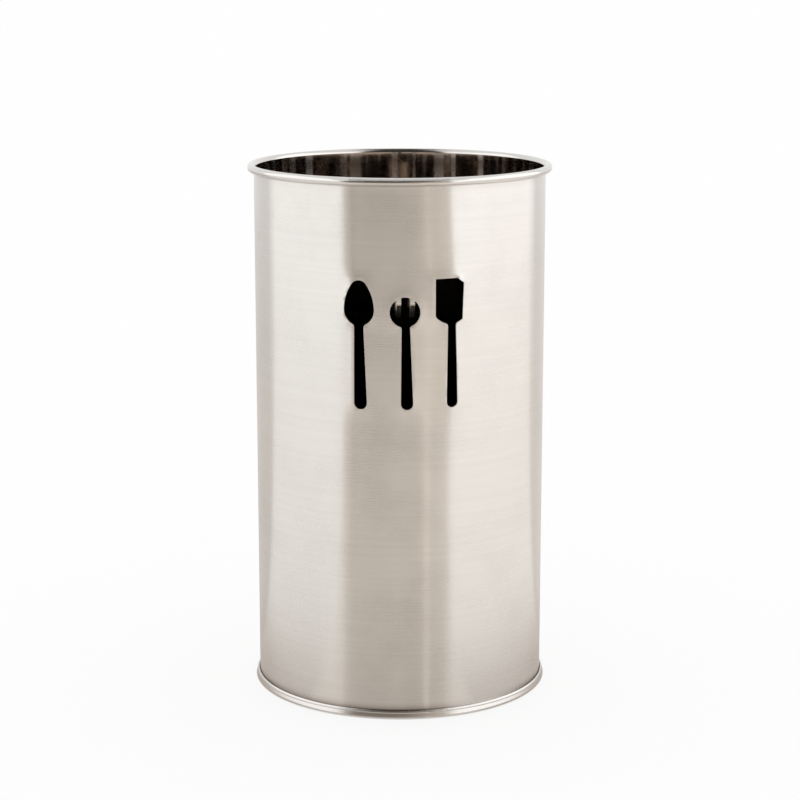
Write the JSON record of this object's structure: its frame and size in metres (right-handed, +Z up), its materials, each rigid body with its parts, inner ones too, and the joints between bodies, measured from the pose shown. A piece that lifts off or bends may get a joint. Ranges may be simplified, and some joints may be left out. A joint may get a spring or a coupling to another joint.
{
  "type": "utensil crock",
  "caption": "Open cylindrical steel utensil crock with a rolled rim, a double-seamed base and spoon, fork and turner shapes cut through the front of its wall.",
  "frame": {"origin": "centre of the plane that the crock stands on", "axes": "+Z up along the axis of the crock, -Y towards the cut-outs at the front, +X to a viewer's right when facing them"},
  "size_m": [0.1016, 0.1016, 0.1778],
  "materials": {
    "sleeve_steel": "fine brushing around the outside, bright rolled rim, smooth mill finish inside",
    "weld_steel": "fine rippled bead, dressed nearly flush",
    "wire_steel": "plain drawn wire",
    "base_steel": "smooth mill finish with a bright rolled seam"
  },
  "bodies": {
    "root": {"sleeve": "sleeve_steel", "side_weld": "weld_steel", "rim_wire": "wire_steel", "base_pan": "base_steel"}
  },
  "joints": []
}
